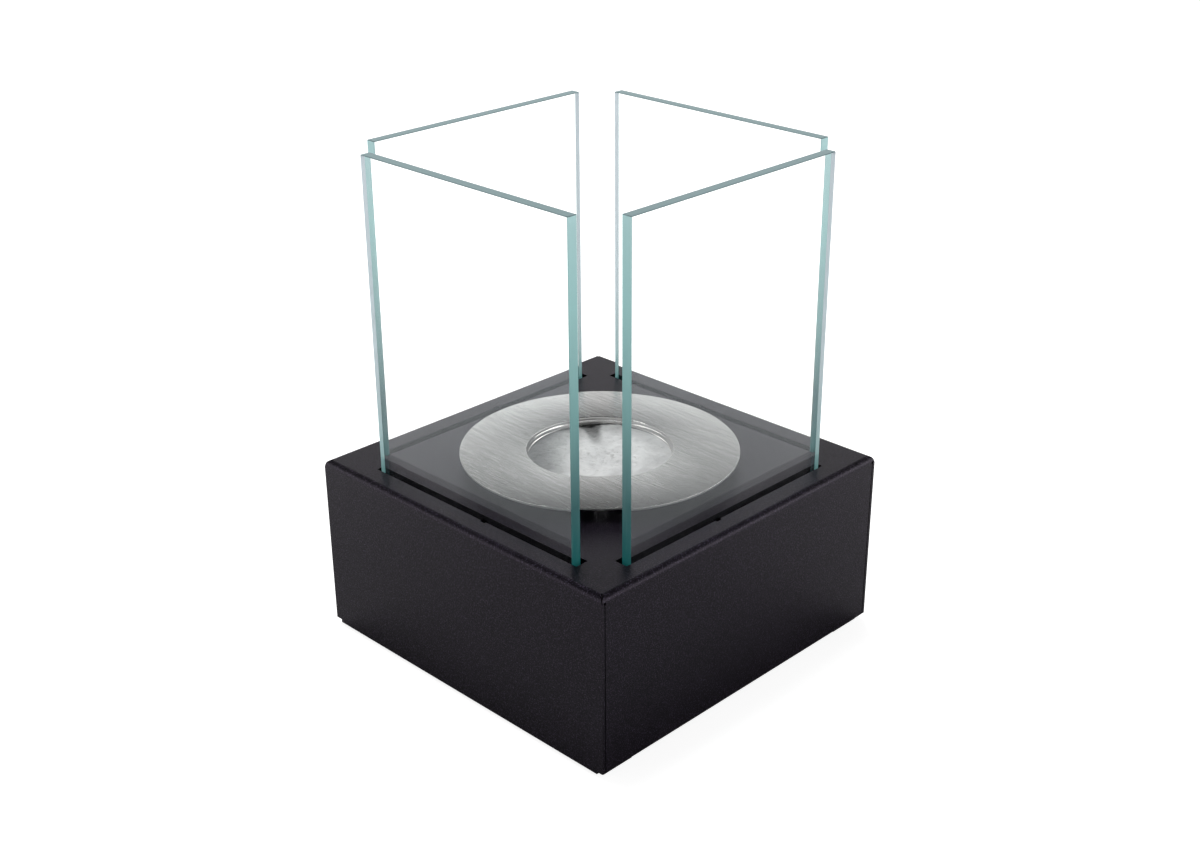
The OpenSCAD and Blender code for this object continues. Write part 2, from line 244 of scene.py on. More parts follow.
# Green glass edges: each kind has its colours up the height of a pane, from its lower to its upper edge;
# the darkening towards the lower edge is painted shade, and the glow is painted light
glassEdge = {"low": 0.081, "high": 0.234, "streaks": (500, 500, 30), "streakTint": (0.36, 0.52, 0.52),
             "streakRange": (0.45, 0.75), "streakShare": 0.05, "grind": 700, "grindHeight": 0.004,
             "roughness": 0.30, "streakRoughness": 0.12, "ior": 1.5, "specular": 0.2}
glassKinds = {
    "glassEdge": {"paintedGlow": 0.45, "steps": [
        (0.0, (0.004, 0.092, 0.092)), (0.21, (0.033, 0.095, 0.099)), (0.49, (0.165, 0.31, 0.308)),
        (0.77, (0.28, 0.475, 0.472)), (1.0, (0.36, 0.54, 0.545))]},
    "glassTopEdge": {"paintedGlow": 0.0, "steps": [(0.0, (0.13, 0.20, 0.21)), (1.0, (0.15, 0.22, 0.23))]},
    # painted light: the lining inside each pane end, pale and glowing, darker near its lower edge
    "glassDepth": {"paintedGlow": 0.3, "steps": [
        (0.0, (0.10, 0.30, 0.30)), (0.12, (0.34, 0.50, 0.51)), (0.35, (0.50, 0.58, 0.62)),
        (1.0, (0.55, 0.61, 0.66))]},
}


def makeGlassEdge(name, values, kind):
    edge = Finish(name)
    height = edge.split(edge.place)[2]
    # painted shade: the colour darkens towards the lower edge; painted light: the edge glows in that
    # colour
    rise = edge.node("ShaderNodeMapRange", inputs={
        "Value": height, "From Min": values["low"], "From Max": values["high"]})
    tone = edge.node("ShaderNodeValToRGB", {"stops": kind["steps"]}, {0: rise})
    streak = edge.noise(1, detail=3, roughness=0.6, where=edge.stretched(values["streaks"]))
    share = edge.ranged(streak, *values["streakRange"]) * values["streakShare"]
    colour = edge.mixColour(share, tone, values["streakTint"])
    return edge.close(edge.principled(
        Base_Color=colour, Normal=edge.bump(edge.noise(values["grind"]), values["grindHeight"]),
        Roughness=values["roughness"] + streak * values["streakRoughness"], IOR=values["ior"],
        Specular_IOR_Level=values["specular"], Emission_Color=colour, Emission_Strength=kind["paintedGlow"]))


# Brushed face of the burner plate: fine lines over wider bands, all running one way
brushedSteel = {"colour": (0.52, 0.517, 0.51), "dark": 0.84, "light": 1.10, "turn": 5.0,
                "lines": (80, 2800, 2800), "bands": (50, 1250, 1250), "cloud": 24, "lineShare": 0.45,
                "toneRange": (0.36, 0.64), "lineDepthShare": 0.7, "lineHeight": 0.0022,
                "roughness": 0.21, "lineRoughness": 0.07, "cloudRoughness": 0.03}


def makeBrushedSteel(values):
    steel = Finish("brushedStainless")
    lines = steel.noise(1, roughness=0.6, where=steel.stretched(values["lines"], values["turn"]))
    bands = steel.noise(1, where=steel.stretched(values["bands"], values["turn"]))
    cloud = steel.noise(values["cloud"], detail=3)
    dark, light = (shade(values["colour"], values[key]) for key in ("dark", "light"))
    tone = steel.ranged(steel.shared(lines, bands, values["lineShare"]), *values["toneRange"])
    normal = steel.bump(steel.shared(lines, bands, values["lineDepthShare"]), values["lineHeight"])
    roughness = values["roughness"] + lines * values["lineRoughness"] + cloud * values["cloudRoughness"]
    return steel.close(steel.principled(
        Base_Color=steel.mixColour(tone, dark, light), Metallic=1.0, Normal=normal, Roughness=roughness))


# Other steels, and the dull finishes
steels = {
    "plateSide": {"colour": (0.46, 0.455, 0.45), "roughness": 0.34, "grain": 1500, "height": 0.004},
    "polishedStainless": {"colour": (0.56, 0.55, 0.54), "roughness": 0.07, "grain": 500, "height": 0.002},
    "cupStainless": {"colour": (0.58, 0.575, 0.56), "roughness": 0.24, "grain": 900, "height": 0.004},
    "weldBead": {"colour": (0.30, 0.25, 0.23), "roughness": 0.30, "grain": 2500, "height": 0.03},
    "zincSteel": {"colour": (0.52, 0.53, 0.55), "roughness": 0.30, "grain": 700, "height": 0.006},
}
steelSpread = {"cloud": 60, "dark": 0.86, "light": 1.1, "cloudRoughness": 0.10, "grainRoughness": 0.04}
dulls = {
    "blackRubber": {"dark": (0.010, 0.010, 0.010), "light": (0.022, 0.022, 0.022), "roughness": 0.62,
                    "grain": 1800, "height": 0.03, "specular": 0.4},
    # the silicone's near-black, almost glossless tone is partly its own colour and partly painted shade
    # in the slots
    "blackSilicone": {"dark": (0.001, 0.001, 0.001), "light": (0.002, 0.002, 0.002), "roughness": 0.7,
                      "grain": 1200, "height": 0.01, "specular": 0.03},
    # painted shade: the inside of the housing and the holders, near black and without gloss
    "innerCoat": {"dark": (0.0005, 0.0005, 0.0006), "light": (0.0011, 0.0010, 0.0012), "roughness": 0.75,
                  "grain": 1600, "height": 0.02, "specular": 0.0},
}
dullSpread = {"cloud": 90, "cloudShare": 0.6, "toneRange": (0.35, 0.65), "cloudRoughness": 0.1}


def makeSteel(name, values, spread):
    steel = Finish(name)
    cloud = steel.noise(spread["cloud"], detail=4, roughness=0.6)
    fine = steel.noise(values["grain"], detail=3, roughness=0.6)
    dark, light = (shade(values["colour"], spread[key]) for key in ("dark", "light"))
    roughness = values["roughness"] + cloud * spread["cloudRoughness"] + fine * spread["grainRoughness"]
    return steel.close(steel.principled(
        Base_Color=steel.mixColour(cloud, dark, light), Metallic=1.0,
        Normal=steel.bump(fine, values["height"]), Roughness=roughness))


def makeDull(name, values, spread):
    dull = Finish(name)
    cloud = dull.noise(spread["cloud"], detail=4, roughness=0.6)
    fine = dull.noise(values["grain"], detail=3, roughness=0.6)
    factor = dull.ranged(dull.shared(cloud, fine, spread["cloudShare"]), *spread["toneRange"])
    return dull.close(dull.principled(
        Base_Color=dull.mixColour(factor, values["dark"], values["light"]),
        Normal=dull.bump(fine, values["height"]), Specular_IOR_Level=values["specular"],
        Roughness=values["roughness"] + cloud * spread["cloudRoughness"]))


# Ceramic wool: white, with painted shade greying it in the cleft and towards its left, right and far rims
cleft = {"start": (-26.0, 19.5), "end": (-9.0, 7.5), "width": 2.0, "narrowing": 0.4,
         "depth": 0.7, "fading": 0.75}
# painted shade: the darkest tone, and how much of it the cleft and the left, right and far rims get
woolFinish = {"dark": (0.47, 0.47, 0.475), "light": (0.62, 0.62, 0.62), "shadeTone": (0.06, 0.06, 0.06),
              "cloud": 85, "cloudShare": 0.8, "toneRange": (0.3, 0.7), "strands": (520, 1500, 1500),
              "strandTurn": 25, "strandHeight": 0.10, "strandDepth": 0.45, "wander": 0.006,
              "wanderScale": 160, "cleftWander": 0.6, "cleftLength": 0.022, "cleftSlope": 0.15,
              "cleftSoft": 0.0028, "cleftFade": (0.015, 0.029), "cleftShade": 0.56,
              "leftRange": (0.005, 0.028), "leftShade": 0.9, "rightRange": (0.012, 0.032),
              "rightShade": 0.3, "farRange": (0.014, 0.031), "farShade": 0.42, "mostShade": 0.9,
              "roughness": 0.95, "specular": 0.15, "sheen": 0.25, "sheenRoughness": 0.6}


def makeWoolFinish(values, fold):
    wool = Finish("ceramicWool")
    x, y = wool.split(wool.place)[:2]
    cloud = wool.noise(values["cloud"], detail=3, roughness=0.6)
    lay = wool.stretched(values["strands"], values["strandTurn"])
    strands = wool.noise(1, detail=4, roughness=0.7, where=lay)
    factor = wool.ranged(wool.shared(cloud, strands, values["cloudShare"]), *values["toneRange"])
    tone = wool.mixColour(factor, values["dark"], values["light"])
    wander = (wool.noise(values["wanderScale"], detail=3, roughness=0.6) - 0.5) * values["wander"]
    start, end = (Vector(fold[key]) * millimetre for key in ("start", "end"))
    way = (end - start).normalized()
    along = (x - start.x) * way.x + (y - start.y) * way.y
    across = (y - start.y) * way.x - (x - start.x) * way.y + wander * values["cleftWander"]
    across = wool.maths("ABSOLUTE", across)
    past = across - (values["cleftLength"] - along) * values["cleftSlope"]
    inCleft = wool.ranged(past, 0.0, values["cleftSoft"], 1.0, 0.0)
    inCleft = inCleft * wool.ranged(along, *values["cleftFade"], 1.0, 0.0)
    # painted shade: the cleft and the left, right and far rims are greyed towards the darkest tone
    sideways = (x + y) * diagonal
    woolShade = inCleft * values["cleftShade"]
    woolShade = woolShade + wool.ranged(wander - sideways, *values["leftRange"]) * values["leftShade"]
    woolShade = woolShade + wool.ranged(sideways, *values["rightRange"]) * values["rightShade"]
    woolShade = woolShade + wool.ranged((y - x) * diagonal + wander, *values["farRange"]) * values["farShade"]
    tone = wool.mixColour(wool.maths("MINIMUM", woolShade, values["mostShade"]), tone, values["shadeTone"])
    return wool.close(wool.principled(
        Base_Color=tone, Normal=wool.bump(strands, values["strandHeight"], values["strandDepth"]),
        Roughness=values["roughness"], Specular_IOR_Level=values["specular"],
        Sheen_Weight=values["sheen"], Sheen_Roughness=values["sheenRoughness"]))


finishes = {
    "blackPowderCoat": makePowderCoat(powderCoat),
    "clearGlass": makeClearGlass(clearGlass),
    "brushedStainless": makeBrushedSteel(brushedSteel),
    "ceramicWool": makeWoolFinish(woolFinish, cleft),
}
for name, kind in glassKinds.items():
    finishes[name] = makeGlassEdge(name, glassEdge, kind)
for name, values in steels.items():
    finishes[name] = makeSteel(name, values, steelSpread)
for name, values in dulls.items():
    finishes[name] = makeDull(name, values, dullSpread)
print("finishes made")


# Mesh helpers
def makeObject(name, mesh, materials):
    made = bpy.data.objects.new(name, mesh)
    bpy.context.scene.collection.objects.link(made)
    for key in materials:
        mesh.materials.append(finishes[key])
    return made


def meshFrom(name, shape):
    mesh = bpy.data.meshes.new(name)
    shape.to_mesh(mesh)
    shape.free()
    return mesh


def bakeModifiers(made):
    settled = made.evaluated_get(bpy.context.evaluated_depsgraph_get())
    mesh = bpy.data.meshes.new_from_object(settled)
    made.modifiers.clear()
    made.data = mesh
    return made


# Housing: the folded sheet, with its cut edges broken, its bends smooth and its inner faces darker, as
# painted shade in a near-black coat
housing = {"softEdge": 0.16, "softSteps": 2, "sharpAngle": 35, "flatAngle": 0.3, "outerSkin": 1.4,
           "under": 85.91}  # just above the underside of the top


def makeHousing(values):
    shape = bmesh.new()
    shape.from_mesh(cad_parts["housing_shell"].data)
    bmesh.ops.remove_doubles(shape, verts=shape.verts, dist=mergeDistance)
    bmesh.ops.dissolve_limit(shape, angle_limit=math.radians(values["flatAngle"]),
                             verts=shape.verts, edges=shape.edges)
    innerReach = cadBox[1][0] - values["outerSkin"] * millimetre
    underTop = values["under"] * millimetre
    for face in shape.faces:
        face.smooth = True
        middle = face.calc_center_median()
        upright = abs(face.normal.z) < 0.5
        # painted shade: the inner faces take the near-black inner coat
        if max(abs(middle.x), abs(middle.y)) < innerReach and (upright or middle.z < underTop):
            face.material_index = 1  # the inner coat
    made = makeObject("housingShell", meshFrom("housingShell", shape), ["blackPowderCoat", "innerCoat"])
    bevel = made.modifiers.new("softEdges", "BEVEL")
    bevel.width = values["softEdge"] * millimetre
    bevel.segments = values["softSteps"]
    bevel.limit_method = "ANGLE"
    bevel.angle_limit = math.radians(values["sharpAngle"])
    weights = made.modifiers.new("flatWalls", "WEIGHTED_NORMAL")
    weights.keep_sharp = True
    bakeModifiers(made)
    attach(made, "housing")
    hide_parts("housing_shell")


makeHousing(housing)
print("housing made")


# Glass panes: flat faces clear, ground edges green, and a pale glowing lining just inside each end,
# a painted light for where the eye meets the edge through the glass
pane = {"low": 73.4, "high": 234.8, "halfWidth": 62, "inner": 73.8, "outer": 78.8, "arris": 0.3,
        "lining": 0.2, "liningMargin": 0.1, "liningTop": 0.35}
paneFinishes = ["clearGlass", "glassEdge", "glassTopEdge", "glassDepth"]
boxFaces = ((0, 1, 3, 2), (4, 6, 7, 5), (0, 4, 5, 1), (2, 3, 7, 6), (0, 2, 6, 4), (1, 5, 7, 3))


def paneFinish(normal):
    if abs(normal.y) > 0.99:
        return "clearGlass"
    return "glassTopEdge" if normal.z > 0.5 else "glassEdge"


def makePane(values, side, turn):
    corners = [(x * values["halfWidth"], -values[y], values[z])
               for x in (-1, 1) for y in ("inner", "outer") for z in ("low", "high")]
    shape = bmesh.new()
    spots = [shape.verts.new([part * millimetre for part in corner]) for corner in corners]
    for face in boxFaces:
        shape.faces.new([spots[corner] for corner in face])
    bmesh.ops.recalc_face_normals(shape, faces=shape.faces)
    bmesh.ops.bevel(shape, geom=list(shape.edges), offset=values["arris"] * millimetre,
                    segments=1, affect="EDGES")
    bmesh.ops.recalc_face_normals(shape, faces=shape.faces)
    for face in shape.faces:
        face.material_index = paneFinishes.index(paneFinish(face.normal))
    # painted light: a pale, glowing sheet just inside each end of the pane
    margin = values["liningMargin"]
    near, far = -values["inner"] - margin, -values["outer"] + margin
    low, high = values["low"] + margin, values["high"] - values["liningTop"]
    for end in (-1, 1):
        x = end * (values["halfWidth"] - values["lining"])
        corners = [(near, low), (near, high), (far, high), (far, low)]
        spots = [shape.verts.new((x * millimetre, y * millimetre, z * millimetre)) for y, z in corners]
        lining = shape.faces.new(spots[::end])
        lining.material_index = paneFinishes.index("glassDepth")
        lining.normal_update()
        if lining.normal.x * end > 0:
            lining.normal_flip()
    shape.transform(Matrix.Rotation(math.radians(turn), 4, "Z"))
    name = "pane" + side
    made = makeObject(name, meshFrom(name, shape), paneFinishes)
    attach(made, side.lower() + "_pane")
    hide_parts("glass_" + side.lower())


for side, turn in sides.items():
    makePane(pane, side, turn)
print("panes made")


# Geometry Nodes helpers
def openTree(name, inputs):
    tree = bpy.data.node_groups.new(name, "GeometryNodeTree")
    for label, kind in inputs.items():
        tree.interface.new_socket(label, in_out="INPUT", socket_type="NodeSocket" + kind)
    tree.interface.new_socket("Geometry", in_out="OUTPUT", socket_type="NodeSocketGeometry")
    graph = Graph(tree)
    given = graph.wires(graph.node("NodeGroupInput"))
    return graph, given[:len(inputs)]


def painted(graph, shape, material, selection=True):
    return graph.node("GeometryNodeSetMaterial", inputs={
        "Geometry": shape, "Selection": selection, "Material": material})


def useTree(name, mesh, tree, values):
    made = bpy.data.objects.new(name, mesh)
    bpy.context.scene.collection.objects.link(made)
    modifier = made.modifiers.new(name, "NODES")
    modifier.node_group = tree
    for item in tree.interface.items_tree:
        if item.in_out == "INPUT" and item.name in values:
            modifier[item.identifier] = values[item.name]
    return bakeModifiers(made)


# Turned pieces: a profile carried round the burner's axis
def turnedTree():
    graph, given = openTree("turnedPiece", {
        "Geometry": "Geometry", "Profile points": "Int", "Steps": "Int", "Polished from": "Int",
        "Side up to": "Int", "Side finish": "Material", "Flat finish": "Material",
        "Mouth finish": "Material"})
    profile, points, steps, polishedFrom, sideUpTo, sideFinish, flatFinish, mouthFinish = given
    columns = steps + 1
    grid = graph.node("GeometryNodeMeshGrid", inputs={"Vertices X": points + 1, "Vertices Y": columns})
    index = graph.node("GeometryNodeInputIndex")
    row = graph.maths("FLOOR", index / columns)
    column = index % columns
    angle = column / steps * (2 * math.pi)
    where = graph.node("GeometryNodeInputPosition")
    sample = graph.node("GeometryNodeSampleIndex", {"data_type": "FLOAT_VECTOR"},
                        {"Geometry": profile, "Value": where, "Index": row % points})
    radius, height = graph.split(sample)[::2]
    spot = graph.node("ShaderNodeCombineXYZ", inputs={
        0: radius * graph.maths("COSINE", angle), 1: radius * graph.maths("SINE", angle), 2: height})
    turned = graph.node("GeometryNodeSetPosition", inputs={"Geometry": grid, "Position": spot})
    rowOfFace = graph.maths("FLOOR", index / steps)
    inMouth = graph.node("FunctionNodeCompare", {"data_type": "FLOAT", "operation": "GREATER_EQUAL"},
                         {0: rowOfFace, 1: polishedFrom})
    onSide = graph.node("FunctionNodeCompare", {"data_type": "FLOAT", "operation": "LESS_THAN"},
                        {0: rowOfFace, 1: sideUpTo})
    closed = graph.node("GeometryNodeMergeByDistance", inputs={
        "Geometry": turned, "Distance": mergeDistance})
    whole = graph.node("GeometryNodeRealizeInstances", inputs={0: closed})
    faced = painted(graph, whole, flatFinish)
    faced = painted(graph, faced, sideFinish, onSide)
    faced = painted(graph, faced, mouthFinish, inMouth)
    graph.node("NodeGroupOutput", inputs={0: faced})
    return graph.tree


def arc(centre, radius, start, end, count):
    turns = [math.radians(start + (end - start) * step / count) for step in range(count + 1)]
    return [(centre[0] + radius * math.cos(turn), centre[1] + radius * math.sin(turn)) for turn in turns]


# Burner plate with its turned-down rim, which has fine turned lines: height share, depth
burnerPlate = {"radius": 62.4, "mouth": 31.9, "top": 93.8, "thickness": 1.2, "edge": 0.2,
               "rimHeight": 4.0, "rimThickness": 1.0, "mouthRound": 0.35, "fillet": 0.6, "taper": 0.75,
               "steps": 288, "edgeSteps": 4, "mouthSteps": 6, "lipSteps": 8, "filletSteps": 4,
               "sideRows": 7, "sharpAngle": 30,
               "turnedLines": ((0.30, 0.0), (0.36, 0.07), (0.42, 0.0), (0.74, 0.0), (0.79, 0.06),
                               (0.84, 0.0))}


def makeBurnerPlate(values):
    top = values["top"]
    under = top - values["thickness"]
    low = top - values["rimHeight"]
    edge, fillet, rounding = values["edge"], values["fillet"], values["mouthRound"]
    inner = values["mouth"]
    outer = inner + values["rimThickness"]
    lip = values["rimThickness"] / 2
    flat = [(outer + fillet, under)]
    flat += arc((values["radius"] - edge, under + edge), edge, -90, 0, values["edgeSteps"])
    flat += arc((values["radius"] - edge, top - edge), edge, 0, 90, values["edgeSteps"])
    mouth = arc((inner + rounding, top - rounding), rounding, 90, 180, values["mouthSteps"])
    for along, depth in values["turnedLines"]:
        mouth.append((inner + depth - values["taper"] * along, top - values["rimHeight"] * along))
    mouth += arc((inner - values["taper"] + lip, low + lip), lip, 180, 360, values["lipSteps"])
    mouth += arc((outer + fillet, under - fillet), fillet, 180, 90, values["filletSteps"])[:-1]
    profile = flat + mouth
    mesh = bpy.data.meshes.new("burnerProfile")
    mesh.from_pydata([(r * millimetre, 0, z * millimetre) for r, z in profile], [], [])
    made = useTree("burnerPlate", mesh, turnedTree(), {
        "Profile points": len(profile), "Steps": values["steps"], "Polished from": len(flat),
        "Side up to": values["sideRows"], "Side finish": finishes["plateSide"],
        "Flat finish": finishes["brushedStainless"], "Mouth finish": finishes["polishedStainless"]})
    shape = bmesh.new()
    shape.from_mesh(made.data)
    bmesh.ops.recalc_face_normals(shape, faces=shape.faces)
    for face in shape.faces:
        face.smooth = True
    shape.to_mesh(made.data)
    shape.free()
    made.data.set_sharp_from_angle(angle=math.radians(values["sharpAngle"]))
    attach(made, "burner")
    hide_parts("burner_plate")


makeBurnerPlate(burnerPlate)
print("burner plate made")


# Wool pad: lumpy, sunk on one side, with a cleft from the far wall towards the middle
# a lump's row: height share, width, and where its noise is read
wool = {"radius": 32.6, "low": 33.7, "crown": 90.2, "drop": 0.1, "dropPower": 3, "lump": 1.8,
        "rimLump": 0.6, "rings": 96, "steps": 320, "ringShare": 0.85, "sideRows": (0.6, 0.3, 0.0),
        "bulge": 0.006, "bulgeWidth": 5, "bulgeStep": 7, "hollow": 1.0, "hollowPower": 2.4,
        "hollowTurn": 200, "hollowWidth": 46,
        "lumps": ((0.9, 15, (3.1, -1.7, 0.4)), (0.35, 7, (0, 0, 2.2)), (0.10, 2.8, (0, 0, 5.2)),
                  (0.03, 0.9, (0, 0, 8.2)))}


def woolHeight(values, fold, x, y):
    far = min(1.0, math.hypot(x, y) / values["radius"])
    height = values["crown"] - values["drop"] * far ** values["dropPower"]
    for count, (share, width, shift) in enumerate(values["lumps"]):
        lump = noise.noise((x / width + shift[0], y / width + shift[1], shift[2]))
        calmed = 1 - values["rimLump"] * far ** 2 if count == 0 else 1
        height += values["lump"] * share * lump * calmed
    aside = (math.degrees(math.atan2(y, x)) - values["hollowTurn"] + 180) % 360 - 180
    hollow = values["hollow"] * far ** values["hollowPower"]
    height -= hollow * math.exp(-(aside / values["hollowWidth"]) ** 2)
    start, end = Vector(fold["start"]), Vector(fold["end"])
    line = end - start
    along = max(0.0, min(1.0, (Vector((x, y)) - start).dot(line) / line.length_squared))
    away = (Vector((x, y)) - start - along * line).length
    width = fold["width"] * (1 - fold["narrowing"] * along)
    return height - fold["depth"] * (1 - fold["fading"] * along) * math.exp(-(away / width) ** 2)


def makeWool(values, fold):
    shape = bmesh.new()
    rows = []
    for ring in range(1, values["rings"] + 1):
        radius = values["radius"] * (ring / values["rings"]) ** values["ringShare"]
        row = []
        for step in range(values["steps"]):
            turn = 2 * math.pi * step / values["steps"]
            x, y = radius * math.cos(turn), radius * math.sin(turn)
            row.append(shape.verts.new((x, y, woolHeight(values, fold, x, y))))
        rows.append(row)
    rim = rows[-1]
    for level in values["sideRows"]:
        row = []
        for above in rim:
            x, y, top = above.co
            width, step = values["bulgeWidth"], values["bulgeStep"]
            bulge = 1 - values["bulge"] * (1 + noise.noise((x / width, y / width, level * step)))
            height = values["low"] + (top - values["low"]) * level
            row.append(shape.verts.new((x * bulge, y * bulge, height)))
        rows.append(row)
    crown = shape.verts.new((0, 0, woolHeight(values, fold, 0, 0)))
    base = shape.verts.new((0, 0, values["low"]))
    for step in range(values["steps"]):
        after = (step + 1) % values["steps"]
        shape.faces.new((crown, rows[0][step], rows[0][after]))
        shape.faces.new((base, rows[-1][after], rows[-1][step]))
        for upper, lower in zip(rows, rows[1:]):
            shape.faces.new((upper[step], lower[step], lower[after], upper[after]))
    bmesh.ops.recalc_face_normals(shape, faces=shape.faces)
    for face in shape.faces:
        face.smooth = True
    shape.transform(Matrix.Scale(millimetre, 4))
    made = makeObject("woolPad", meshFrom("woolPad", shape), ["ceramicWool"])
    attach(made, "burner")
    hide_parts("ceramic_wool")
    return made


# Loose strands on the pad: short bowed fibres, strewn over its top
strands = {"count": 1500, "length": 4.2, "thickness": 0.07, "lowest": 79, "reach": 30.5, "seed": 7,
           "tilt": 0.25, "shortest": 0.45, "longest": 1.3, "bowSteps": 4, "roundSteps": 3,
           "bow": {"Start": (-0.5, 0, -0.06), "Middle": (0.05, 0.22, 0.28), "End": (0.5, -0.05, -0.04)}}


def strandTree(values):
    graph, given = openTree("looseStrands", {
        "Geometry": "Geometry", "Strands": "Int", "Length": "Float", "Thickness": "Float",
        "Lowest": "Float", "Reach": "Float", "Pad radius": "Float", "Seed": "Int", "Finish": "Material"})
    pad, count, length, thickness, lowest, reach, padRadius, seed, finish = given
    x, y, z = graph.split(graph.node("GeometryNodeInputPosition"))
    near = graph.maths("LESS_THAN", graph.fromAxis(x, y), reach)
    onTop = graph.maths("GREATER_THAN", z, lowest) * near
    density = count / (padRadius * padRadius * math.pi)
    spots = graph.node("GeometryNodeDistributePointsOnFaces", {"distribute_method": "RANDOM"},
                       {"Mesh": pad, "Selection": onTop, "Density": density, "Seed": seed})
    normal = Wire(graph, spots.socket.node.outputs["Rotation"])
    tilt = values["tilt"]
    curl = graph.node("FunctionNodeRandomValue", {"data_type": "FLOAT_VECTOR"},
                      {0: (-tilt, -tilt, 0.0), 1: (tilt, tilt, 2 * math.pi), "Seed": seed})
    turned = graph.node("FunctionNodeRotateRotation", {"rotation_space": "LOCAL"},
                        {0: normal, 1: graph.node("FunctionNodeEulerToRotation", inputs={0: curl})})
    bow = graph.node("GeometryNodeCurveQuadraticBezier", inputs={
        "Resolution": values["bowSteps"], **values["bow"]})
    long = graph.node("FunctionNodeRandomValue", {"data_type": "FLOAT"},
                      {2: values["shortest"], 3: values["longest"], "Seed": seed + 3})
    placed = graph.node("GeometryNodeInstanceOnPoints", inputs={
        "Points": spots, "Instance": bow, "Rotation": turned, "Scale": long * length})
    whole = graph.node("GeometryNodeRealizeInstances", inputs={0: placed})
    profile = graph.node("GeometryNodeCurvePrimitiveCircle", {"mode": "RADIUS"},
                         {"Resolution": values["roundSteps"], "Radius": thickness / 2})
    strand = graph.node("GeometryNodeCurveToMesh", inputs={
        "Curve": whole, "Profile Curve": profile, "Fill Caps": True})
    smooth = graph.node("GeometryNodeSetShadeSmooth", inputs={"Geometry": strand})
    graph.node("NodeGroupOutput", inputs={0: painted(graph, smooth, finish)})
    return graph.tree


def makeStrands(pad, padRadius, values):
    made = useTree("woolStrands", pad.data.copy(), strandTree(values), {
        "Strands": values["count"], "Length": values["length"] * millimetre,
        "Thickness": values["thickness"] * millimetre, "Lowest": values["lowest"] * millimetre,
        "Reach": values["reach"] * millimetre, "Pad radius": padRadius * millimetre,
        "Seed": values["seed"], "Finish": finishes["ceramicWool"]})
    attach(made, "burner")


makeStrands(makeWool(wool, cleft), wool["radius"], strands)
print("wool made")


# Weld seam down the rolled cup and its neck: overlapping scales along a path
weld = {"turn": 109, "top": 93.2, "low": 34.2, "cup": 33.0, "pitch": 0.55, "width": 0.55, "proud": 0.10,
        "overlap": 1.7, "gap": 0.2, "segments": 8, "rings": 5}


def weldTree(values):
    graph, given = openTree("weldBead", {
        "Geometry": "Geometry", "Pitch": "Float", "Width": "Float", "Proud": "Float", "Turn": "Float",
        "Finish": "Material"})
    path, pitch, width, proud, turn, finish = given
    line = graph.node("GeometryNodeMeshToCurve", inputs={0: path})
    spots = graph.node("GeometryNodeCurveToPoints", {"mode": "LENGTH"}, {"Curve": line, "Length": pitch})
    scale = graph.node("GeometryNodeMeshUVSphere", inputs={
        "Segments": values["segments"], "Rings": values["rings"], "Radius": 0.5})
    size = graph.node("ShaderNodeCombineXYZ", inputs={
        0: proud * 2, 1: width, 2: pitch * values["overlap"]})
    upright = graph.node("ShaderNodeCombineXYZ", inputs={2: turn})
    placed = graph.node("GeometryNodeInstanceOnPoints", inputs={
        "Points": spots, "Instance": scale, "Rotation": upright, "Scale": size})
    whole = graph.node("GeometryNodeRealizeInstances", inputs={0: placed})
    smooth = graph.node("GeometryNodeSetShadeSmooth", inputs={"Geometry": whole})
    graph.node("NodeGroupOutput", inputs={0: painted(graph, smooth, finish)})
    return graph.tree


def makeWeld(values, plate):
    turn = math.radians(values["turn"])
    neckLow = plate["top"] - plate["rimHeight"]
    spots = [(plate["mouth"], values["top"]), (plate["mouth"], neckLow + values["gap"]),
             (values["cup"], neckLow - values["gap"]), (values["cup"], values["low"])]
    mesh = bpy.data.meshes.new("weldPath")
    mesh.from_pydata([(r * math.cos(turn) * millimetre, r * math.sin(turn) * millimetre, z * millimetre)
                      for r, z in spots], [(0, 1), (2, 3)], [])
    made = useTree("weldSeam", mesh, weldTree(values), {
        "Pitch": values["pitch"] * millimetre, "Width": values["width"] * millimetre,
        "Proud": values["proud"] * millimetre, "Turn": turn, "Finish": finishes["weldBead"]})
    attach(made, "burner")


makeWeld(weld, burnerPlate)
print("weld seam made")


# The frame's own pieces that keep their shape
plainFinishes = {
    "zincSteel": ["base_plate", "base_screws", "base_nuts", "holder_studs", "holder_nuts"],
    "cupStainless": ["cup_wall", "cup_base", "burner_spacers"],
    # painted shade: the holders take the near-black inner coat
    "innerCoat": ["holder_" + side.lower() for side in sides],
    "blackSilicone": ["cushion_" + side.lower() for side in sides],
    "blackRubber": ["foot_front_left", "foot_front_right", "foot_back_left", "foot_back_right"],
}
for key, nodeNames in plainFinishes.items():
    for nodeName in nodeNames:
        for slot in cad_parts[nodeName].material_slots:
            slot.material = finishes[key]
print("frame pieces finished")


# Studio: a white floor, a sweep that darkens upwards, a bright box on either side and one soft lamp
# a stop of the sweep: share of the way from straight down to straight up, brightness
studio = {"floor": 0.50, "floorSpread": 0.01, "floorCloud": 3, "floorRoughness": 0.9, "lift": 0.86,
          "gloss": 1.2, "glossRange": (0.12, 0.60), "reach": 30, "key": 28.0, "turn": 162, "rise": 73,
          "away": 1.7, "width": 0.8, "aim": (0, 0, 0.1),
          "sweep": ((0.5, 0.95), (0.57, 1.0), (0.65, 1.05), (0.70, 0.68), (0.74, 0.46), (0.78, 0.22),
                    (0.84, 0.05), (0.93, 0.04), (1.0, 0.24)),
          "behind": (-0.15, 0.55), "inFront": 0.55, "boxFrom": 0.72, "boxTo": 0.92,
          "boxRise": (0.22, 0.48), "leftBox": 1.9, "rightBox": 3.3}


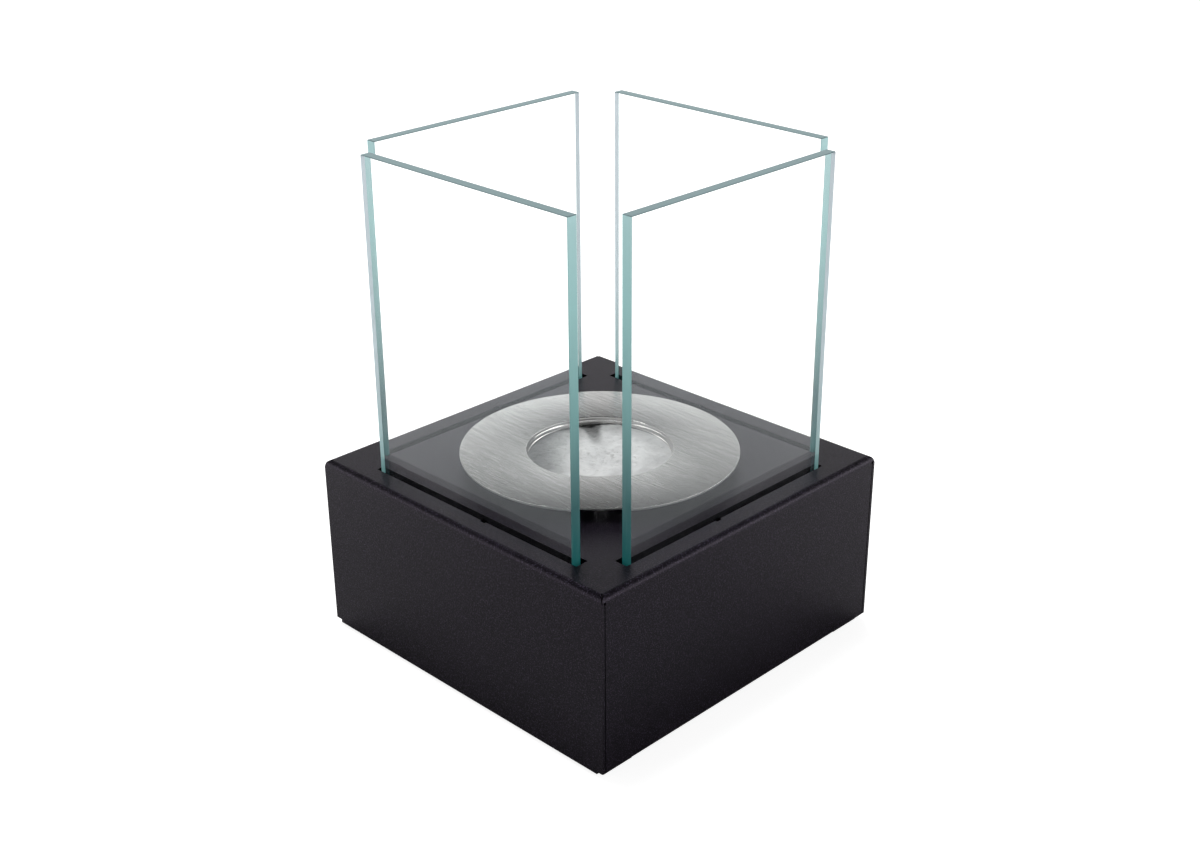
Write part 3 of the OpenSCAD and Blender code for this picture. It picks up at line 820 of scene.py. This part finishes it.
def seenStraight(graph):  # 1 for what the camera sees, also through the glass
    rays = graph.node("ShaderNodeLightPath").socket.node.outputs
    first = graph.maths("LESS_THAN", Wire(graph, rays["Glossy Depth"]), 0.5)
    first = first * graph.maths("LESS_THAN", Wire(graph, rays["Diffuse Depth"]), 0.5)
    through = Wire(graph, rays["Is Transmission Ray"]) * first
    return graph.maths("MAXIMUM", Wire(graph, rays["Is Camera Ray"]), through)


def makeFloor(values):
    floor = Finish("paleFloor")
    rays = floor.node("ShaderNodeLightPath").socket.node.outputs
    x, y = floor.split(floor.place)[:2]
    # painted shade: in reflections the floor glows less near the object, and fully only past the gloss
    # range
    away = floor.ranged(floor.fromAxis(x, y), *values["glossRange"]) * values["gloss"]
    seen = floor.maths("MAXIMUM", seenStraight(floor), Wire(floor, rays["Is Glossy Ray"]) * away)
    dark, light = ([tone] * 3 for tone in (values["floor"], values["floor"] + values["floorSpread"]))
    tone = floor.mixColour(floor.noise(values["floorCloud"]), dark, light)
    material = floor.close(floor.principled(
        Base_Color=tone, Roughness=values["floorRoughness"], Specular_IOR_Level=0.0,
        Emission_Color=floor.mixColour(seen, (0, 0, 0), (1, 1, 1)), Emission_Strength=values["lift"]))
    reach = values["reach"]
    mesh = bpy.data.meshes.new("floor")
    mesh.from_pydata([(-reach, -reach, 0), (reach, -reach, 0), (reach, reach, 0), (-reach, reach, 0)],
                     [], [(0, 1, 2, 3)])
    mesh.materials.append(material)
    made = bpy.data.objects.new("floor", mesh)
    bpy.context.scene.collection.objects.link(made)


def makeWorld(values):
    world = bpy.data.worlds.new("studio")
    bpy.context.scene.world = world
    world.use_nodes = True
    graph = Graph(world.node_tree)
    graph.tree.nodes.clear()
    x, y, z = graph.split(graph.node("ShaderNodeTexCoord", output="Generated"))
    stops = [(place, [tone] * 3) for place, tone in values["sweep"]]
    level = graph.node("ShaderNodeValToRGB", {"stops": stops}, {0: z * 0.5 + 0.5})
    behind = graph.ranged((y - x) * diagonal, *values["behind"], values["inFront"], 1.0)
    sideways = (x + y) * diagonal
    boxes = graph.ranged(sideways, -values["boxFrom"], -values["boxTo"]) * values["leftBox"]
    boxes = boxes + graph.ranged(sideways, values["boxFrom"], values["boxTo"]) * values["rightBox"]
    boxes = boxes * graph.ranged(z, *values["boxRise"], 1.0, 0.0)  # they stand on the floor
    seen = seenStraight(graph)
    strength = seen + (1 - seen) * (level * behind + boxes)
    shader = graph.node("ShaderNodeBackground", inputs={"Color": (1, 1, 1, 1), "Strength": strength})
    graph.node("ShaderNodeOutputWorld", inputs={"Surface": shader})


def makeLamp(values):
    turn, rise = math.radians(values["turn"]), math.radians(values["rise"])
    place = values["away"] * Vector((
        math.cos(rise) * math.cos(turn), math.cos(rise) * math.sin(turn), math.sin(rise)))
    data = bpy.data.lights.new("keyLight", "AREA")
    data.shape = "RECTANGLE"
    data.size = values["width"]
    data.size_y = values["width"]
    data.energy = values["key"]
    made = bpy.data.objects.new("keyLight", data)
    bpy.context.scene.collection.objects.link(made)
    made.location = place
    made.rotation_euler = (Vector(values["aim"]) - place).to_track_quat("-Z", "Y").to_euler()
    made.visible_glossy = False  # the sweep and the boxes are what gloss shows


makeFloor(studio)
makeWorld(studio)
makeLamp(studio)
print("studio made")
